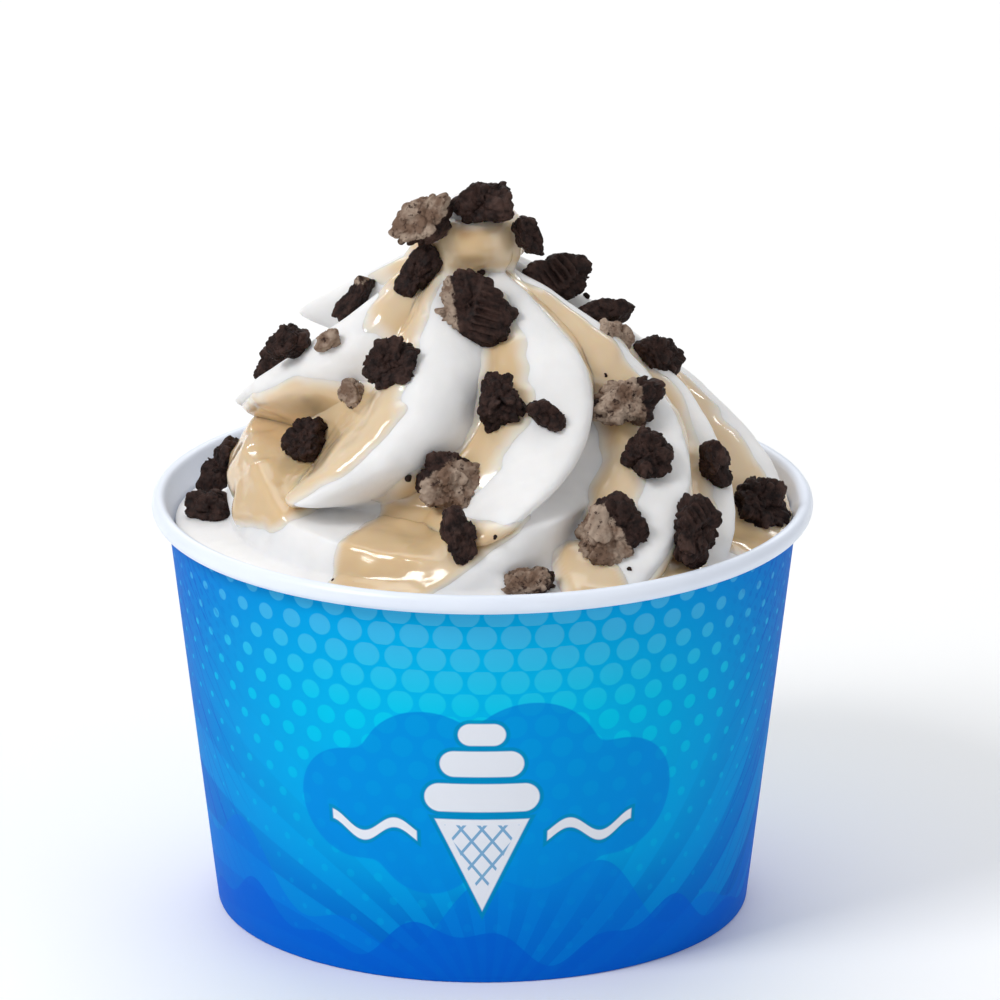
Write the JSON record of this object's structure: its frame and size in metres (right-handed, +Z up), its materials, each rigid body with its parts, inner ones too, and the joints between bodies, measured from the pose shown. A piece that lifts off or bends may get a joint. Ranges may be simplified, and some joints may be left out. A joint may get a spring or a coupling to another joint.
{
  "type": "ice cream sundae in a paper cup",
  "caption": "Soft ice cream swirl in a blue paper cup, with ribbons of caramel sauce and broken dark chocolate cookie pieces.",
  "frame": {"origin": "on the cup's axis, at the level of the table that its foot ring stands on", "axes": "+Z up along the cup's axis; -Y is the front, the side the picture shows; +X is to the right seen from the front"},
  "size_m": [0.0956, 0.0956, 0.1094],
  "materials": {
    "cup_paper": "coated paper, printed in blues",
    "ice_cream": "soft ice cream, slightly wet, with caramel sauce over it",
    "cookie": "rough broken cookie"
  },
  "bodies": {
    "root": {"cookie_back_foot": "cookie", "cookie_back_high": "cookie", "cookie_back_left_foot": "cookie", "cookie_back_left_high": "cookie", "cookie_back_left_low": "cookie", "cookie_back_middle": "cookie", "cookie_back_right_high": "cookie", "cookie_back_right_low": "cookie", "cookie_big_wafer": "cookie", "cookie_far_right_high": "cookie", "cookie_far_right_low": "cookie", "cookie_front_block": "cookie", "cookie_front_left_chip": "cookie", "cookie_front_left_high": "cookie", "cookie_front_left_low": "cookie", "cookie_front_right_cream": "cookie", "cookie_front_rim": "cookie", "cookie_front_wedge": "cookie", "cookie_knob_left": "cookie", "cookie_left_chip": "cookie", "cookie_left_high": "cookie", "cookie_left_leaf": "cookie", "cookie_left_low": "cookie", "cookie_middle_block": "cookie", "cookie_middle_cream": "cookie", "cookie_middle_crumb": "cookie", "cookie_right_corner": "cookie", "cookie_right_cream": "cookie", "cookie_right_round": "cookie", "cookie_right_slab": "cookie", "cookie_right_wafer": "cookie", "cookie_top": "cookie", "cookie_top_left": "cookie", "cookie_top_right": "cookie", "cookie_wall_left_high": "cookie", "cookie_wall_left_low": "cookie", "cookie_wall_right": "cookie", "cup": "cup_paper", "ice_cream": "ice_cream"}
  },
  "joints": []
}
